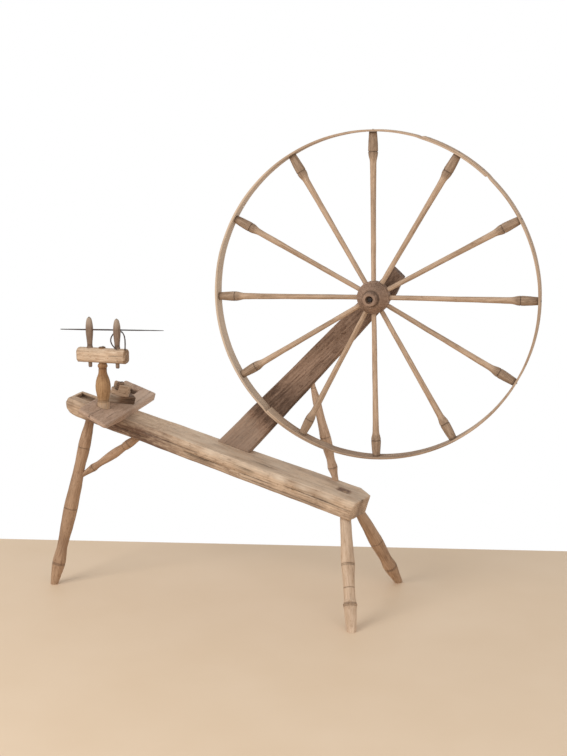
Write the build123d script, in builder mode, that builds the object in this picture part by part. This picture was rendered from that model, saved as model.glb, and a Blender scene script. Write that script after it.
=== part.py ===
from build123d import *
from math import cos, radians, sin, tan
import os

# A great wheel, the tall spinning wheel that is worked standing up. Sizes are in millimetres.
# The origin is on the floor under the middle of the whole wheel. X runs along the bench to the
# right, Y runs away from the spinner, and Z is up.

# The wheel
hub_height = 1112.0
wheel_x = 320.35
wheel_y = -18.4
rim_radius = 560.0
rim_thickness = 7.0
rim_width = 57.0
spoke_count = 12
spoke_turn = 0.7
spoke_leans = (0.3, -0.5, -1.4, 0.0, 0.3, 0.0, 1.0, 2.4, 1.1, 0.9, 1.8, 0.7)
bulb_lengths = (93, 88, 86, 83, 86, 84, 79, 84, 86, 85, 88, 90)
lap_angle = 26.0
lap_step = 2.0
hub_radius = 55.5
tenon_radius = 6.95
socket_radius = 7.0
tenon_root = 33.0

# The bench, measured along its slope from the left end
bench_angle = 16.55
bench_left = -1112.0
bench_left_height = -399.0
bench_length = 1139.0
bench_thin = 55.0
bench_thick = 67.0
channel_y = 8.0
channel_width = 64.0
channel_undercut = 80.0
channel_lip = 5.0
channel_depth = 15.0
channel_start = 8.0
channel_end = 217.0

# The wheel post and the axle
post_front = 58.0
post_thickness = 40.0
axle_radius = 9.0
running_gap = 0.05

# The tension slab and its clamp
slab_thickness = 26.0
clamp_s = 152.0
clamp_y = 12.0
clamp_bar_height = 27.0
screw_radius = 13.0
thread_pitch = 7.0

# The spindle head
head_x = -959.5
head_y = -100.0
seat_height = -423.0
head_tenon_radius = 11.0
block_bottom = -256.0
block_height = 52.0
maiden_spacing = 105.0
spindle_height = -138.0
spindle_tilt = 1.7
spindle_radius = 2.6


def at(x, y, z):
    """A point measured from the wheel's centre."""
    return Vector(x + wheel_x, y + wheel_y, z + hub_height)


def on_bench(s, y, height=0.0):
    """A point measured along the bench's slope, across it, and square up from its top."""
    a = radians(bench_angle)
    return at(
        bench_left + s * cos(a) + height * sin(a),
        y,
        bench_left_height - s * sin(a) + height * cos(a),
    )


bench_top = Plane(
    origin=on_bench(0, 0),
    x_dir=on_bench(1, 0) - on_bench(0, 0),
    z_dir=on_bench(0, 0, 1) - on_bench(0, 0),
)
bench_side = Plane(origin=bench_top.origin, x_dir=bench_top.x_dir, z_dir=(0, -1, 0))
bench_end = Plane(origin=bench_top.origin, x_dir=(0, 1, 0), z_dir=bench_top.x_dir)


def lathe_plane(start, end):
    """The plane through a turned piece's axis: local Y runs up the axis, local X is the radius."""
    along = (end - start).normalized()
    reference = Vector(0, 1, 0) if abs(along.Y) < 0.9 else Vector(1, 0, 0)
    side = along.cross(reference).normalized()
    return Plane(origin=start, x_dir=side, z_dir=side.cross(along))


def turned(start, end, curves, scores=()):
    """A turned piece. Each curve is a run of (height, radius) points, and steps join the curves.
    Each score is a fine groove cut round the piece at a (height, radius)."""
    plane = lathe_plane(start, end)
    axis = Axis(start, end - start)
    with BuildPart() as piece:
        with BuildSketch(plane):
            with BuildLine():
                base = (0, curves[0][0][0])
                last = base
                for curve in curves:
                    points = [(radius, height) for height, radius in curve]
                    if last != points[0]:
                        Line(last, points[0])
                    if len(points) > 2:
                        Spline(*points)
                    else:
                        Line(*points)
                    last = points[-1]
                Polyline(last, (0, last[1]), base)
            make_face()
        revolve(axis=axis)
        for height, radius in scores:
            with BuildSketch(plane):
                Polygon(
                    (radius + 1, height - 2), (radius - 1.6, height), (radius + 1, height + 2),
                    align=None,
                )
            revolve(axis=axis, mode=Mode.SUBTRACT)
    return piece.part


def rod(start, end, radius):
    """A plain round rod from one point to another."""
    with BuildPart() as piece:
        with BuildSketch(Plane(origin=start, z_dir=end - start)):
            Circle(radius)
        extrude(amount=(end - start).length)
    return piece.part


parts = {}


def keep(name, part):
    part.label = name
    parts[name] = part


# Legs: each axis runs from the middle of the foot to the bench's underside
left_foot = at(-1188.5, -78, -1112)
left_top = at(-1052, -7, -474)
front_foot = at(-11.8, -233, -1112)
front_top = at(-90, -9.4, -771.8)
rear_foot = at(48.4, 294, -1112)
rear_top = at(-73, 102.5, -776)
leg_tenon_radius = 14.0


def leg(foot, top, curve, scores, tenon, top_radius):
    """A turned leg, cut level at the floor, with a round tenon in the bench."""
    along = (top - foot).normalized()
    length = (top - foot).length
    blank = turned(foot, top, [curve + [(length - 8, top_radius)]], scores)
    with BuildPart() as piece:
        add(blank)
        with BuildSketch(Plane(origin=top - along * 12, z_dir=along)):
            Circle(leg_tenon_radius)
        extrude(amount=12 + tenon)
        split(bisect_by=Plane.XY, keep=Keep.TOP)
    return piece.part


left_curve = [
    (-24, 11), (0, 13.5), (23, 17), (49, 20.5), (84, 24.5), (115, 22.3), (150, 19), (230, 23.4),
    (298, 25.8), (375, 23.6), (455, 20.2), (534, 23), (585, 20), (620, 17),
]
keep("leg_left", leg(left_foot, left_top, left_curve, [(84, 24.5), (298, 25.8), (534, 23)], 24, 15.8))

front_curve = [
    (-24, 13), (0, 15.5), (41, 19.8), (77, 21.5), (91, 24.6), (106, 20.3), (141, 19.6), (195, 21.5),
    (234, 24.4), (270, 23), (335, 20), (375, 20.3),
]
front_blank = leg(front_foot, front_top, front_curve, [(91, 24.6), (150, 19.7), (234, 24.4)], 84, 19.5)

rear_curve = [
    (-24, 9), (0, 13), (22, 16.2), (45, 19.5), (90, 25), (136, 20.8), (180, 23.5), (226, 25.2),
    (271, 23), (330, 20.6), (365, 18.5),
]
keep("leg_rear_right", leg(rear_foot, rear_top, rear_curve, [(90, 25)], 36, 17.0))

# The front leg's tenon comes through the bench and is spread by a wedge
leg_wedge_length = 30.0
front_along = (front_top - front_foot).normalized()
with BuildPart() as leg_wedge:
    with BuildSketch(Plane(origin=front_top + front_along * (84 - leg_wedge_length), z_dir=front_along)):
        Rectangle(3, 22)
    extrude(amount=leg_wedge_length, taper=-3)
keep("leg_wedge", leg_wedge.part)

with BuildPart() as leg_front_right:
    add(front_blank)
    add(leg_wedge.part, mode=Mode.SUBTRACT)
keep("leg_front_right", leg_front_right.part)

# Turned brace from the left leg up to the bench's underside
stretcher_foot = at(-1100, -33, -709)
stretcher_top = at(-857, -9, -538)
stretcher_length = (stretcher_top - stretcher_foot).length
stretcher_curve = [
    (8, 8), (35, 9), (58, 12), (76, 14.6), (96, 12.2), (112, 12.5), (150, 16), (180, 16.8),
    (210, 14.4), (222, 13.8),
]
stretcher_shoulder = [(225, 15.5), (245, 16.4), (268, 14), (282, 11)]
stretcher_blank = turned(
    stretcher_foot, stretcher_top, [stretcher_curve, stretcher_shoulder], [(76, 14.6), (243, 16.4)]
)
with BuildPart() as stretcher:
    add(stretcher_blank)
    with BuildSketch(Plane(origin=stretcher_top, z_dir=stretcher_top - stretcher_foot)):
        Circle(10)
    extrude(amount=24)
    extrude(faces().sort_by(Axis(stretcher_foot, stretcher_top - stretcher_foot))[0], amount=2)
    add(rod(stretcher_top, stretcher_foot, 8.0))
    add(parts["leg_left"], mode=Mode.SUBTRACT)
keep("stretcher", stretcher.part)

# Post: a flat board leaning right, tapered towards the axle, with a tenon in the bench
post_plane = Plane(origin=at(0, post_front, 0), x_dir=(1, 0, 0), z_dir=(0, -1, 0))
post_base = [on_bench(s, post_front) for s in (551, 677)]
post_base_local = [(p.X - wheel_x, p.Z - hub_height) for p in post_base]
post_tenon_s = 616.0
post_tenon_width = 80.0
post_tenon_thickness = 20.0
post_tenon_y = 78.0
post_tenon_depth = 60.0
peg_radius = 4.5
peg_spacing = 40.0
peg_depth = -30.0
brace_foot = at(-155, 112, -683)
brace_top = at(-233, 78, -332)

with BuildPart() as wheel_post:
    with BuildSketch(post_plane):
        with BuildLine():
            Polyline(
                post_base_local[0], (6, 47), (52, 97), (89, 63), (62, 2), post_base_local[1], close=True
            )
        make_face()
    extrude(amount=-post_thickness)
    front_edges = faces().sort_by(Axis.Y)[0].edges().sort_by(SortBy.LENGTH)[-2:]
    chamfer(front_edges.sort_by(Axis.Z)[0], length=11, length2=6)
    chamfer(faces().sort_by(Axis.Y)[0].edges().sort_by(SortBy.LENGTH)[-1], length=3)
    with BuildSketch(bench_top):
        with Locations((post_tenon_s, post_tenon_y)):
            Rectangle(post_tenon_width, post_tenon_thickness)
    extrude(amount=-post_tenon_depth)
    with BuildSketch(Plane(origin=at(0, post_front - 5, 0), z_dir=(0, 1, 0))):
        Circle(axle_radius)
    extrude(amount=post_thickness + 10, mode=Mode.SUBTRACT)
    add(rod(brace_foot, brace_top + (brace_top - brace_foot).normalized() * 28, 9.0), mode=Mode.SUBTRACT)
    for side in (-1, 1):
        peg_start = on_bench(post_tenon_s + side * peg_spacing / 2, 110, peg_depth)
        add(rod(peg_start, peg_start - Vector(0, 60, 0), peg_radius), mode=Mode.SUBTRACT)
keep("wheel_post", wheel_post.part)

# Two pegs lock the post's tenon, driven in from the bench's far edge
with BuildPart() as post_pegs:
    for side in (-1, 1):
        peg_start = on_bench(post_tenon_s + side * peg_spacing / 2, 99, peg_depth)
        add(rod(peg_start, peg_start - Vector(0, 46, 0), peg_radius))
keep("post_pegs", post_pegs.part)

# Turned strut behind the wheel, from the bench up to the post's lower side
brace_length = (brace_top - brace_foot).length
brace_curve = [
    (-3, 10), (20, 12), (38, 15.5), (50, 18), (62, 16.2), (82, 14.8), (120, 18.6), (165, 19.8),
    (200, 16.6), (236, 14.6), (275, 15), (310, 14), (335, 11.4),
]
brace_blank = turned(brace_foot, brace_top, [brace_curve], [(50, 18)])
brace_along = (brace_top - brace_foot).normalized()
with BuildPart() as post_brace:
    add(brace_blank)
    add(rod(brace_foot + brace_along * 300, brace_top + brace_along * 28, 9.0))
    add(rod(brace_foot - brace_along * 30, brace_foot + brace_along * 20, 9.0))
keep("post_brace", post_brace.part)

# Bench: a hewn plank, wider and thicker to the right, with its far right corner cut off
bench_joinery = (
    "leg_left", "leg_front_right", "leg_wedge", "leg_rear_right", "stretcher", "post_brace", "post_pegs"
)
with BuildPart() as bench:
    with BuildSketch(bench_top):
        with BuildLine():
            Polyline((0, -80), (1112, -56), (bench_length, 84), (1093, 128), (0, 56), close=True)
        make_face()
    extrude(amount=-bench_thick - 10)
    with BuildSketch(bench_side.offset(-200)):
        with BuildLine():
            Polyline(
                (-20, -14), (0, -14), (9, -35), (24, -47), (50, -bench_thin),
                (bench_length + 20, -bench_thick), (bench_length + 20, -120), (-20, -120),
                close=True,
            )
        make_face()
    extrude(amount=400, mode=Mode.SUBTRACT)
    top_edges = faces().sort_by(Axis(bench_top.origin, bench_top.z_dir))[-1].edges()
    chamfer(top_edges.sort_by(Axis.Y)[0], length=10, length2=14)
    bottom_edges = faces().sort_by(Axis(bench_top.origin, bench_top.z_dir))[0].edges()
    chamfer(bottom_edges.sort_by(Axis.Y)[0], length=4)
    with BuildSketch(bench_top):
        with Locations((post_tenon_s, post_tenon_y)):
            Rectangle(post_tenon_width, post_tenon_thickness)
    extrude(amount=-90, mode=Mode.SUBTRACT)
    channel_middle = (channel_start + channel_end) / 2
    with BuildSketch(bench_top):
        with Locations((channel_middle, channel_y)):
            Rectangle(channel_end - channel_start, channel_width)
    extrude(amount=-channel_lip, mode=Mode.SUBTRACT)
    with BuildSketch(bench_top.offset(-channel_lip)):
        with Locations((channel_middle, channel_y)):
            Rectangle(channel_end - channel_start, channel_undercut)
    extrude(amount=channel_lip - channel_depth, mode=Mode.SUBTRACT)
    for name in bench_joinery:
        add(parts[name], mode=Mode.SUBTRACT)
keep("bench", bench.part)

# Axle: fixed in the post, with a collar that keeps the hub off the board
with BuildPart() as axle:
    with BuildSketch(Plane(origin=at(0, -66, 0), z_dir=(0, 1, 0))):
        Circle(axle_radius)
    extrude(amount=66 + post_front + post_thickness + 24)
    with BuildSketch(Plane(origin=at(0, post_front - 5, 0), z_dir=(0, 1, 0))):
        Circle(20)
    extrude(amount=5)
    chamfer(faces().sort_by(Axis.Y)[0].edges(), length=1.5)
    with BuildSketch(Plane(origin=at(0, post_front + post_thickness + 6, -30), z_dir=(0, 0, 1))):
        Rectangle(5, 10)
    extrude(amount=60, mode=Mode.SUBTRACT)
keep("axle", axle.part)

with BuildPart() as axle_key:
    with BuildSketch(Plane(origin=at(0, post_front + post_thickness + 6, -24), z_dir=(0, 0, 1))):
        Rectangle(5, 10)
    extrude(amount=50)
    chamfer(faces().sort_by(Axis.Z)[0].edges(), length=1)
keep("axle_key", axle_key.part)

# Hub: turned, stepped down to the nose in front, on the fixed axle
wheel_centre = at(0, 0, 0)
wheel_axis = Axis(wheel_centre, (0, -1, 0))
hub_blank = turned(
    at(0, 52, 0),
    at(0, -76, 0),
    [
        [(0, 26), (14, 28)],
        [(14, 36), (22, 42), (30, 51)],
        [(32, 54), (40, hub_radius), (52, hub_radius), (66, hub_radius), (74, 54)],
        [(76, 51), (84, 45)],
        [(86, 43), (98, 34)],
        [(99, 27), (104, 24.6), (122, 23.6), (128, 22)],
    ],
    [(40, hub_radius), (66, hub_radius)],
)


def spoke_angle(index):
    return 90 - index * 360 / spoke_count + spoke_turn + spoke_leans[index]


def radial(angle):
    return Vector(cos(radians(angle)), 0, sin(radians(angle)))


with BuildPart() as hub:
    add(hub_blank)
    with BuildSketch(Plane(origin=at(0, -80, 0), z_dir=(0, 1, 0))):
        Circle(axle_radius + running_gap)
    extrude(amount=140, mode=Mode.SUBTRACT)
    with BuildSketch(Plane(origin=at(0, -80, 0), z_dir=(0, 1, 0))):
        Circle(13.5)
    extrude(amount=18, mode=Mode.SUBTRACT)
    for index in range(spoke_count):
        out = radial(spoke_angle(index))
        with BuildSketch(Plane(origin=wheel_centre + out * tenon_root, z_dir=out)):
            Circle(socket_radius)
        extrude(amount=40, mode=Mode.SUBTRACT)
keep("hub", hub.part)

# Rim: two bent half hoops, each with one end lapped outside the other and one end inside
rim_inner = rim_radius - rim_thickness
rim_middle = rim_radius - rim_thickness / 2
lap_centres = (60 + spoke_turn, 240 + spoke_turn)
nail_radius = 1.25


def rim_half(start_lap, end_lap):
    """A half hoop from one lap to the next, anticlockwise seen from the front."""
    half = lap_angle / 2
    spans = (
        (start_lap - half + 0.2, start_lap + half, rim_inner - lap_step, rim_middle - 0.05),
        (start_lap + half, end_lap - half, rim_inner, rim_radius),
        (end_lap - half, end_lap + half - 0.2, rim_middle + 0.05, rim_radius + lap_step),
    )
    with BuildPart() as piece:
        for start, end, inner, outer in spans:
            out = radial(start)
            with BuildSketch(Plane(origin=wheel_centre, x_dir=out, z_dir=out.cross(Vector(0, 1, 0)))):
                with Locations(((inner + outer) / 2, 0)):
                    RectangleRounded(outer - inner, rim_width, 1.2)
            revolve(axis=wheel_axis, revolution_arc=end - start)
        for index in range(spoke_count):
            out = radial(spoke_angle(index))
            nail_start = wheel_centre + out * (rim_inner - 10)
            add(rod(nail_start, nail_start + out * 30, nail_radius), mode=Mode.SUBTRACT)
        for place in lap_nail_places:
            nail_start = wheel_centre + radial(place[0]) * (rim_inner - 10) + Vector(0, place[1], 0)
            add(rod(nail_start, nail_start + radial(place[0]) * 30, nail_radius), mode=Mode.SUBTRACT)
    return piece.part


lap_nail_places = [
    (centre + side * 10.5, across) for centre in lap_centres for side in (-1, 1) for across in (-16, 16)
]
keep("rim_half_left", rim_half(lap_centres[0], lap_centres[0] + 180))
keep("rim_half_right", rim_half(lap_centres[0] + 180, lap_centres[0] + 360))

# Spokes: a tenon in the hub, a slim shaft, a bead and a long bulb against the rim


def spoke(index):
    """One spoke; the two that stand on the laps are shorter by the step of the lap."""
    out = radial(spoke_angle(index))
    end = rim_inner - 0.2 - (lap_step if index in (1, 7) else 0)
    bulb = bulb_lengths[index]
    neck = end - bulb
    shaft = [
        (hub_radius + 0.5, 8.2), (160, 8.6), (330, 9.4), (neck - 60, 10.3), (neck - 22, 10.9),
        (neck - 10, 11.3), (neck - 5, 11.7), (neck - 1, 10.9),
    ]
    swell = [
        (neck, 11.6), (neck + 6, 14.2), (neck + 16, 16.2), (end - 0.66 * bulb, 16.8),
        (end - 0.4 * bulb, 15.9), (end - 0.16 * bulb, 14.3), (end, 13.2),
    ]
    groove = [(end - 0.7 * bulb, 16.8)]
    blank = turned(wheel_centre, wheel_centre + out * end, [shaft, swell], groove)
    with BuildPart() as piece:
        add(blank)
        add(rod(wheel_centre + out * (tenon_root + 0.5), wheel_centre + out * 80, tenon_radius))
        nail_hole = rod(wheel_centre + out * (end - 32), wheel_centre + out * (end + 5), nail_radius)
        add(nail_hole, mode=Mode.SUBTRACT)
    return piece.part


for index in range(spoke_count):
    keep(f"spoke_{index + 1:02d}", spoke(index))

# Nails: one through the rim into each spoke, four through each lap
with BuildPart() as rim_nails:
    for index in range(spoke_count):
        out = radial(spoke_angle(index))
        head = rim_radius + (lap_step if index in (1, 7) else 0)
        add(rod(wheel_centre + out * (head - 36), wheel_centre + out * head, nail_radius))
        add(rod(wheel_centre + out * head, wheel_centre + out * (head + 1.2), 4.0))
keep("rim_nails", rim_nails.part)

with BuildPart() as lap_nails:
    for angle, across in lap_nail_places:
        out = radial(angle)
        nail_base = wheel_centre + Vector(0, across, 0)
        inner = rim_inner - lap_step
        outer = rim_radius + lap_step
        add(rod(nail_base + out * (inner - 0.8), nail_base + out * outer, nail_radius))
        add(rod(nail_base + out * outer, nail_base + out * (outer + 0.8), 3.0))
keep("lap_nails", lap_nails.part)

# Slab: a plank across the bench with oblique ends, thinned below towards the spinner. It has a
# window for the clamp, a seat for the post, and an old mortise at its far end
window_length = 68.0
window_width = 46.0
window_place = Location((146, 28, 0), (0, 0, 5))
old_mortise_place = Location((145, 183, 0), (0, 0, 5))
old_mortise_width = 34.0
old_mortise_length = 66.0
thinned_start = -92.0
thinned_end = -300.0
thinned_height = 17.0
seat_radius = 23.5
head_axis_point = at(head_x, head_y, seat_height)
with BuildPart() as tension_slab:
    with BuildSketch(bench_top.offset(running_gap)):
        with BuildLine():
            Polyline((104, -208), (239, -277), (215, 257), (74, 282), close=True)
        make_face()
        fillet(vertices(), 9)
        with Locations(window_place):
            Rectangle(window_width, window_length, mode=Mode.SUBTRACT)
        with Locations(old_mortise_place):
            Rectangle(old_mortise_width, old_mortise_length, mode=Mode.SUBTRACT)
    extrude(amount=slab_thickness)
    slab_top = faces().sort_by(Axis(bench_top.origin, bench_top.z_dir))[-1]
    chamfer(slab_top.outer_wire().edges(), length=2.5)
    with BuildSketch(Plane(origin=head_axis_point, z_dir=(0, 0, 1))):
        Circle(seat_radius)
    extrude(amount=60, mode=Mode.SUBTRACT)
    with BuildSketch(Plane(origin=head_axis_point, z_dir=(0, 0, -1))):
        Circle(head_tenon_radius + running_gap)
    extrude(amount=60, mode=Mode.SUBTRACT)
    add(rod(on_bench(121, -84, 16), on_bench(121, -84, 40), 2.0), mode=Mode.SUBTRACT)
    with BuildSketch(bench_end.offset(-20)):
        Polygon(
            (thinned_start, 0), (thinned_end, 0), (thinned_end, thinned_height), align=None
        )
    extrude(amount=400, mode=Mode.SUBTRACT)
keep("tension_slab", tension_slab.part)

# Clamp: a screw whose square head slides in the channel, a bar over the window, and a hand nut
bar_base = running_gap + slab_thickness
bar_top = bar_base + clamp_bar_height
thread_start = bar_top + 2
thread_turns = 6
screw_top = thread_start + thread_turns * thread_pitch
screw_foot = on_bench(clamp_s, clamp_y, -channel_depth + 1)
screw_end = on_bench(clamp_s, clamp_y, screw_top)
screw_length = screw_top + channel_depth - 1
thread_grooves = [
    (screw_length - (turn + 0.5) * thread_pitch, screw_radius) for turn in range(thread_turns)
]
screw_outline = [(0, screw_radius), (screw_length - 2, screw_radius), (screw_length, screw_radius - 2)]
screw_blank = turned(screw_foot, screw_end, [screw_outline[:2], screw_outline[1:]], thread_grooves)
with BuildPart() as clamp_screw:
    add(screw_blank)
    with BuildSketch(bench_top.offset(-channel_depth + 1)):
        with Locations((clamp_s, channel_y)):
            Rectangle(60, channel_undercut - 8)
    extrude(amount=channel_depth - channel_lip - 2)
keep("clamp_screw", clamp_screw.part)

bar_turn = 47.0
bar_length = 130.0
bar_width = 50.0
with BuildPart() as clamp_bar:
    with BuildSketch(bench_top.offset(bar_base)):
        with Locations(Location((clamp_s, clamp_y, 0), (0, 0, bar_turn))):
            RectangleRounded(bar_length, bar_width, 6)
        with Locations((clamp_s, clamp_y)):
            Circle(screw_radius + running_gap, mode=Mode.SUBTRACT)
    extrude(amount=clamp_bar_height)
    bar_face = faces().sort_by(Axis(bench_top.origin, bench_top.z_dir))[-1]
    chamfer(bar_face.outer_wire().edges(), length=3)
keep("clamp_bar", clamp_bar.part)

nut_height = 40.0
nut_flange = 17.0
nut_offset = (4.0, 7.0)
with BuildPart() as clamp_nut:
    with BuildSketch(bench_top.offset(bar_top)):
        with Locations(Location((clamp_s + nut_offset[0], clamp_y + nut_offset[1], 0), (0, 0, 12))):
            RectangleRounded(68, 44, 18)
        with Locations((clamp_s, clamp_y)):
            Circle(screw_radius + 0.3, mode=Mode.SUBTRACT)
    extrude(amount=nut_height)
    nut_face = faces().sort_by(Axis(bench_top.origin, bench_top.z_dir))[-1]
    fillet(nut_face.outer_wire().edges(), radius=6)
    with BuildSketch(bench_top.offset(bar_top + nut_flange)):
        with Locations((clamp_s - 24, clamp_y - 14)):
            Rectangle(54, 56)
    extrude(amount=nut_height, mode=Mode.SUBTRACT)
keep("clamp_nut", clamp_nut.part)

# Spindle post: a turned baluster, plumb on the sloping slab, so its foot stands in a level seat
post_foot = at(head_x, head_y, 0)
block_top = block_bottom + block_height
baluster = [
    [(seat_height, 22), (seat_height + 13, 22.3), (seat_height + 26, 21.4)],
    [(seat_height + 28, 19.6), (seat_height + 36, 20.4), (seat_height + 50, 23.2), (-347, 27.0),
     (-325, 25.2), (-308, 20.6), (-297, 16.4), (-288, 15.0), (-279, 14.8)],
    [(-275, 15.2), (-270, 17.4), (-264, 17.0), (-260, 14.6)],
    [(-260, 13), (block_bottom, 12.8)],
    [(block_bottom, 12.5), (block_top + 4, 12.5)],
]
baluster_blank = turned(post_foot, at(head_x, head_y, 100), baluster)
with BuildPart() as spindle_post:
    add(baluster_blank)
    add(rod(at(head_x, head_y, seat_height - 24), at(head_x, head_y, seat_height + 5), head_tenon_radius))
    with BuildSketch(Plane(origin=at(head_x, head_y, block_top - 18), z_dir=(0, 0, 1))):
        Rectangle(3, 30)
    extrude(amount=40, mode=Mode.SUBTRACT)
keep("spindle_post", spindle_post.part)

with BuildPart() as post_wedge:
    with BuildSketch(Plane(origin=at(head_x, head_y, block_top - 18), z_dir=(0, 0, 1))):
        Rectangle(3, 20)
    extrude(amount=24)
keep("post_wedge", post_wedge.part)

# Head block: a rounded bar across the top of the post, bored for the post and the maidens
block_length = 187.0
block_depth = 46.0
block_left = head_x - 91.5
maiden_tenon_radius = 7.0
maiden_places = [head_x + 5.5 + side * maiden_spacing / 2 for side in (-1, 1)]
right_x = maiden_places[1]
nail_foot = at(right_x + 34, head_y - 10, block_top - 14)
block_end = at(block_left, head_y, block_bottom + block_height / 2)
pin_hole = (head_x + 66, head_y - 12, block_bottom + 12)
with BuildPart() as head_block:
    with BuildSketch(Plane(origin=block_end, x_dir=(0, 1, 0), z_dir=(1, 0, 0))):
        RectangleRounded(block_depth, block_height, 17)
    extrude(amount=block_length)
    fillet(faces().sort_by(Axis.X)[-1].edges(), radius=7)
    chamfer(faces().sort_by(Axis.X)[0].edges(), length=3)
    with BuildSketch(Plane(origin=at(head_x, head_y, block_bottom - 10), z_dir=(0, 0, 1))):
        Circle(12.5)
    extrude(amount=80, mode=Mode.SUBTRACT)
    for x in maiden_places:
        with BuildSketch(Plane(origin=at(x, head_y, block_bottom - 10), z_dir=(0, 0, 1))):
            Circle(maiden_tenon_radius)
        extrude(amount=80, mode=Mode.SUBTRACT)
    add(rod(nail_foot, nail_foot + Vector(0, 0, 30), 1.6), mode=Mode.SUBTRACT)
    add(rod(at(*pin_hole), at(*pin_hole) - Vector(0, 28, 0), 2), mode=Mode.SUBTRACT)
keep("head_block", head_block.part)

# Maidens: turned uprights with bullet tops, bored for the spindle, their tenons showing below the block
spindle_rise = Vector(cos(radians(spindle_tilt)), 0, sin(radians(spindle_tilt)))
spindle_middle = at(head_x + 5.5, head_y, spindle_height)


def maiden(x, height):
    base = block_top
    curves = [
        [(block_bottom - 18, 5.5), (block_bottom - 14, maiden_tenon_radius), (base, maiden_tenon_radius)],
        [(base, 11.2), (base + 6, 10.6), (base + 16, 9.8), (base + 34, 11.4), (base + 56, 13.2),
         (base + 78, 12.8), (base + height - 15, 10.4), (base + height - 5, 7), (base + height, 1.5)],
    ]
    blank = turned(at(x, head_y, 0), at(x, head_y, 100), curves, [(base + 8, 10.5)])
    with BuildPart() as piece:
        add(blank)
        bore_start = spindle_middle - spindle_rise * 200
        bore = rod(bore_start, bore_start + spindle_rise * 400, spindle_radius + running_gap)
        add(bore, mode=Mode.SUBTRACT)
    return piece.part


keep("maiden_left", maiden(maiden_places[0], 111))
keep("maiden_right", maiden(maiden_places[1], 108))

# Thong: a dark leather loop round the right maiden, held by a nail in the end of the block
thong_radius = 2.2
thong_route = [
    at(right_x + 6, head_y - 22, block_top + 3),
    at(right_x - 6, head_y - 20, block_top + 10),
    at(right_x - 19, head_y - 16, block_top + 24),
    at(right_x - 22, head_y - 4, block_top + 42),
    at(right_x - 14, head_y + 14, block_top + 58),
    at(right_x + 2, head_y + 21, block_top + 62),
    at(right_x + 18, head_y + 14, block_top + 56),
    at(right_x + 29, head_y + 2, block_top + 42),
    at(right_x + 33, head_y - 6, block_top + 24),
    at(right_x + 34, head_y - 9, block_top + 10),
    at(right_x + 34, head_y - 10, block_top + 1.3),
]


def bend_radii(route):
    """The largest arc that each corner of a route has room for."""
    radii = []
    for before, corner, after in zip(route, route[1:], route[2:]):
        turn = (corner - before).get_angle(after - corner)
        shorter = min((corner - before).length, (after - corner).length)
        radii.append(0.45 * shorter / tan(radians(turn) / 2))
    return radii


thong_radii = bend_radii(thong_route)
with BuildPart() as leather_thong:
    with BuildLine() as thong_path:
        FilletPolyline(*thong_route, radius=thong_radii)
    with BuildSketch(Plane(origin=thong_route[0], z_dir=thong_path.line % 0)):
        Circle(thong_radius)
    sweep()
keep("leather_thong", leather_thong.part)

with BuildPart() as thong_nail:
    add(rod(nail_foot, at(right_x + 34, head_y - 10, block_top + 0.6), 1.6))
    add(rod(at(right_x + 34, head_y - 10, block_top), at(right_x + 34, head_y - 10, block_top + 1), 3.4))
keep("thong_nail", thong_nail.part)

# Spindle: a tapered iron rod that turns in both maidens
spindle_left = 164.0
spindle_right = 230.0
spindle_blank = turned(
    spindle_middle - spindle_rise * spindle_left,
    spindle_middle,
    [
        [(0, 1.6), (60, 2.3), (100, spindle_radius)],
        [(100, spindle_radius), (230, spindle_radius)],
        [(230, spindle_radius), (330, 2.0), (spindle_left + spindle_right, 1.0)],
    ],
)
keep("spindle", spindle_blank)

os.makedirs("parts", exist_ok=True)
for name, part in parts.items():
    export_step(part, f"parts/{name}.step")
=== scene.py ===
from math import cos, pi, radians, sin, sqrt, tau

import bmesh
import bpy
from mathutils import Matrix, Vector, geometry, noise


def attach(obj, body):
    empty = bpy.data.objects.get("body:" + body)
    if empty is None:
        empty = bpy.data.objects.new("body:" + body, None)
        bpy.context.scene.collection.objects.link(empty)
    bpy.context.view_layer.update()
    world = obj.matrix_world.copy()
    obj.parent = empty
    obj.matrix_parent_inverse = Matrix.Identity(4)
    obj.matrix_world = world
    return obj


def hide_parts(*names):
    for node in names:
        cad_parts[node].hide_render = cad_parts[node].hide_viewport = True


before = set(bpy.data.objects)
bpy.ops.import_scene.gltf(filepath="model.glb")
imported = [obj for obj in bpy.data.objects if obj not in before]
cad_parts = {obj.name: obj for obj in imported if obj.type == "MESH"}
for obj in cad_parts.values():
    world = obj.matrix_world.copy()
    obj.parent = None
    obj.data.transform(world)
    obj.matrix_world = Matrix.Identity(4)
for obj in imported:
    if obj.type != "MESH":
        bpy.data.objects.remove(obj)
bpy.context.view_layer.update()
scene = bpy.context.scene

# The room: a plain pale floor that ends at a white wall, soft daylight from the upper left in
# front, and the camera of the photograph, which looks down a little on the hub from the right.


def linear(code):
    """An sRGB hex colour as the linear colour that Blender works in."""
    shares = [int(code[i:i + 2], 16) / 255 for i in (0, 2, 4)]
    return [s / 12.92 if s <= 0.04045 else ((s + 0.055) / 1.055) ** 2.4 for s in shares] + [1]


def add_node(tree, kind, inputs=None, **settings):
    """One node with its settings. An input is a number, a colour or another node's output."""
    made = tree.nodes.new(kind)
    for key, value in settings.items():
        setattr(made, key, value)
    for key, value in (inputs or {}).items():
        if isinstance(value, bpy.types.NodeSocket):
            tree.links.new(value, made.inputs[key])
        else:
            made.inputs[key].default_value = value
    return made


def new_material(name):
    """An empty material with its output node."""
    made = bpy.data.materials.new(name)
    made.use_nodes = True
    made.node_tree.nodes.clear()
    return made, made.node_tree, add_node(made.node_tree, "ShaderNodeOutputMaterial")


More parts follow.
